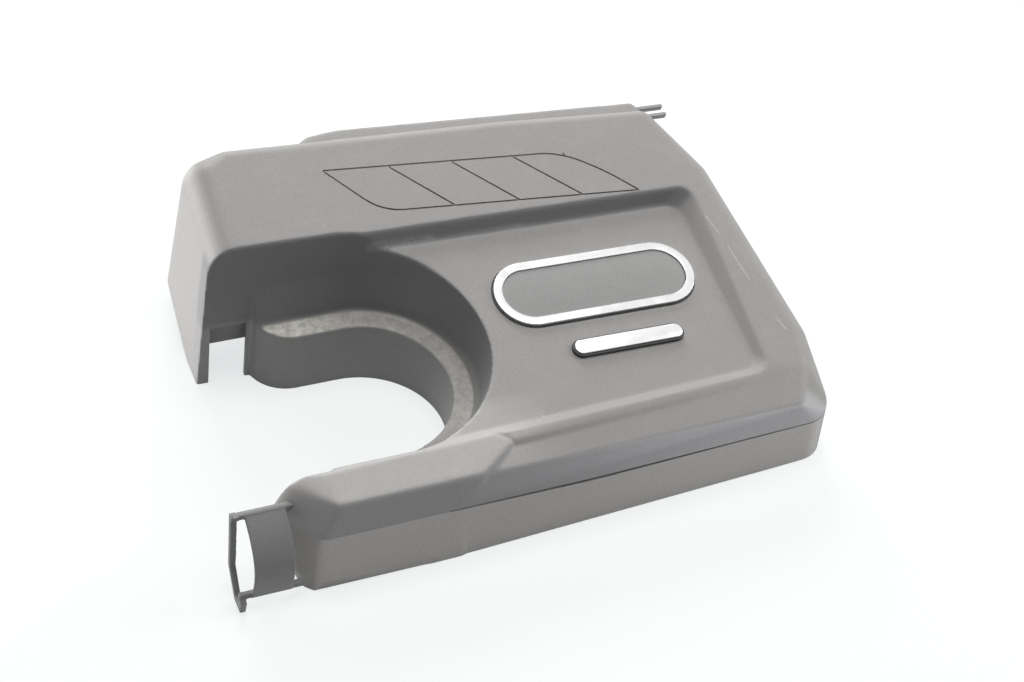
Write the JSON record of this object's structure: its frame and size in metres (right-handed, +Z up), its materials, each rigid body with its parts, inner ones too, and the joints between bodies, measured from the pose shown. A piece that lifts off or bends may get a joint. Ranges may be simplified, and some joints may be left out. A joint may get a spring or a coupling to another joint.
{
  "type": "engine cover",
  "caption": "Moulded engine bay cover with a raised rear ridge, a dished deck, a blank bright badge, a stepped round side opening and ball stud sockets underneath.",
  "frame": {"origin": "middle of the part's box in plan, on the plane that the skirt stands on", "axes": "+X to the right along the badge, +Y to the rear, towards the raised ridge, +Z up"},
  "size_m": [0.4368, 0.3028, 0.1361],
  "materials": {
    "cover_plastic": "fine moulded grain, dusty and lightly scratched",
    "guide_plastic": "smooth dark moulding",
    "bright_trim": "satin bright metal",
    "badge_face": "plain and blank",
    "plinth_plastic": "dark, half gloss",
    "foam": "open-cell foam",
    "grommet_rubber": "matte",
    "nut_steel": "pressed spring steel"
  },
  "bodies": {
    "root": {"cover_shell": "cover_plastic", "hose_guide": "guide_plastic", "badge_frame": "bright_trim", "badge_panel": "badge_face", "trim_plinth": "plinth_plastic", "trim_bar": "bright_trim", "foam_pad_deck": "foam", "foam_pad_ridge": "foam", "grommet_front_left": "grommet_rubber", "grommet_front_right": "grommet_rubber", "grommet_rear_left": "grommet_rubber", "grommet_rear_right": "grommet_rubber", "push_nut_1": "nut_steel", "push_nut_2": "nut_steel", "push_nut_3": "nut_steel", "push_nut_4": "nut_steel", "push_nut_5": "nut_steel", "push_nut_6": "nut_steel"}
  },
  "joints": []
}
